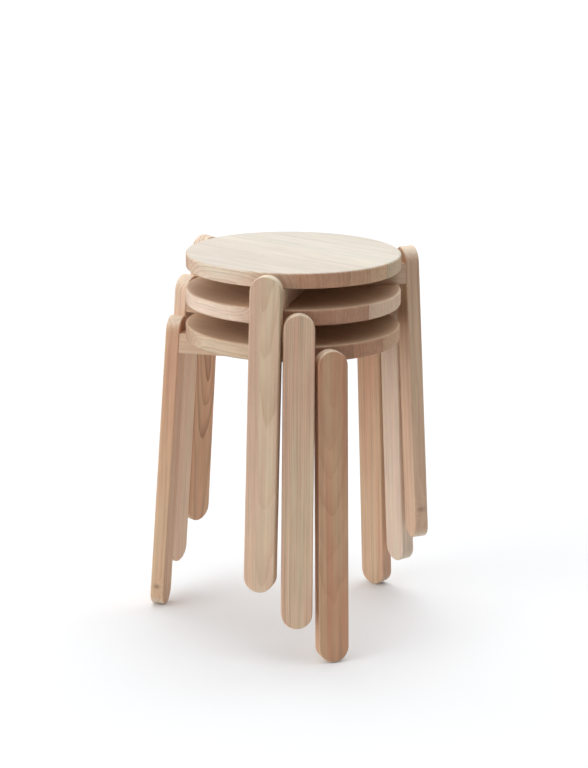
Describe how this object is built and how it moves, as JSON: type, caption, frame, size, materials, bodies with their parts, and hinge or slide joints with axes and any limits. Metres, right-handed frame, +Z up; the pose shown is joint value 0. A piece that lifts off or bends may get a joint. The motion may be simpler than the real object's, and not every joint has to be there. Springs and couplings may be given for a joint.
{
  "type": "stacking stool",
  "caption": "Stack of round wooden stools: splayed board legs with full-round ends are dowelled to rails under each seat, and each stool lifts straight off the one below.",
  "frame": {"origin": "on the common axis of the seats, at floor level", "axes": "+Z up along the axis of the seats; -Y towards the viewer of the picture, +X to the viewer's right"},
  "size_m": [0.418, 0.3827, 0.555],
  "materials": {
    "seat_wood": "sanded, matt oiled, glued staves",
    "leg_wood": "sanded, matt oiled, grain along the leg",
    "rail_wood": "sanded, matt oiled, grain along the rail",
    "dowel_wood": "plain turned hardwood",
    "screw_steel": "zinc plated"
  },
  "bodies": {
    "bottom_stool": {"bottom_seat": "seat_wood", "bottom_rail_front": "rail_wood", "bottom_leg_front": "leg_wood", "bottom_rail_right": "rail_wood", "bottom_leg_right": "leg_wood", "bottom_rail_left": "rail_wood", "bottom_leg_left": "leg_wood", "bottom_leg_dowels": "dowel_wood", "bottom_seat_screws": "screw_steel"},
    "middle_stool": {"middle_seat": "seat_wood", "middle_rail_front": "rail_wood", "middle_leg_front": "leg_wood", "middle_rail_right": "rail_wood", "middle_leg_right": "leg_wood", "middle_rail_left": "rail_wood", "middle_leg_left": "leg_wood", "middle_leg_dowels": "dowel_wood", "middle_seat_screws": "screw_steel"},
    "top_stool": {"top_seat": "seat_wood", "top_rail_front": "rail_wood", "top_leg_front": "leg_wood", "top_rail_right": "rail_wood", "top_leg_right": "leg_wood", "top_rail_left": "rail_wood", "top_leg_left": "leg_wood", "top_leg_dowels": "dowel_wood", "top_seat_screws": "screw_steel"}
  },
  "joints": [
    {"name": "lift_middle", "type": "slide", "parent": "bottom_stool", "child": "middle_stool", "axis": [0, 0, 1], "range_m": [0, 0.4]},
    {"name": "lift_top", "type": "slide", "parent": "middle_stool", "child": "top_stool", "axis": [0, 0, 1], "range_m": [0, 0.4]}
  ]
}
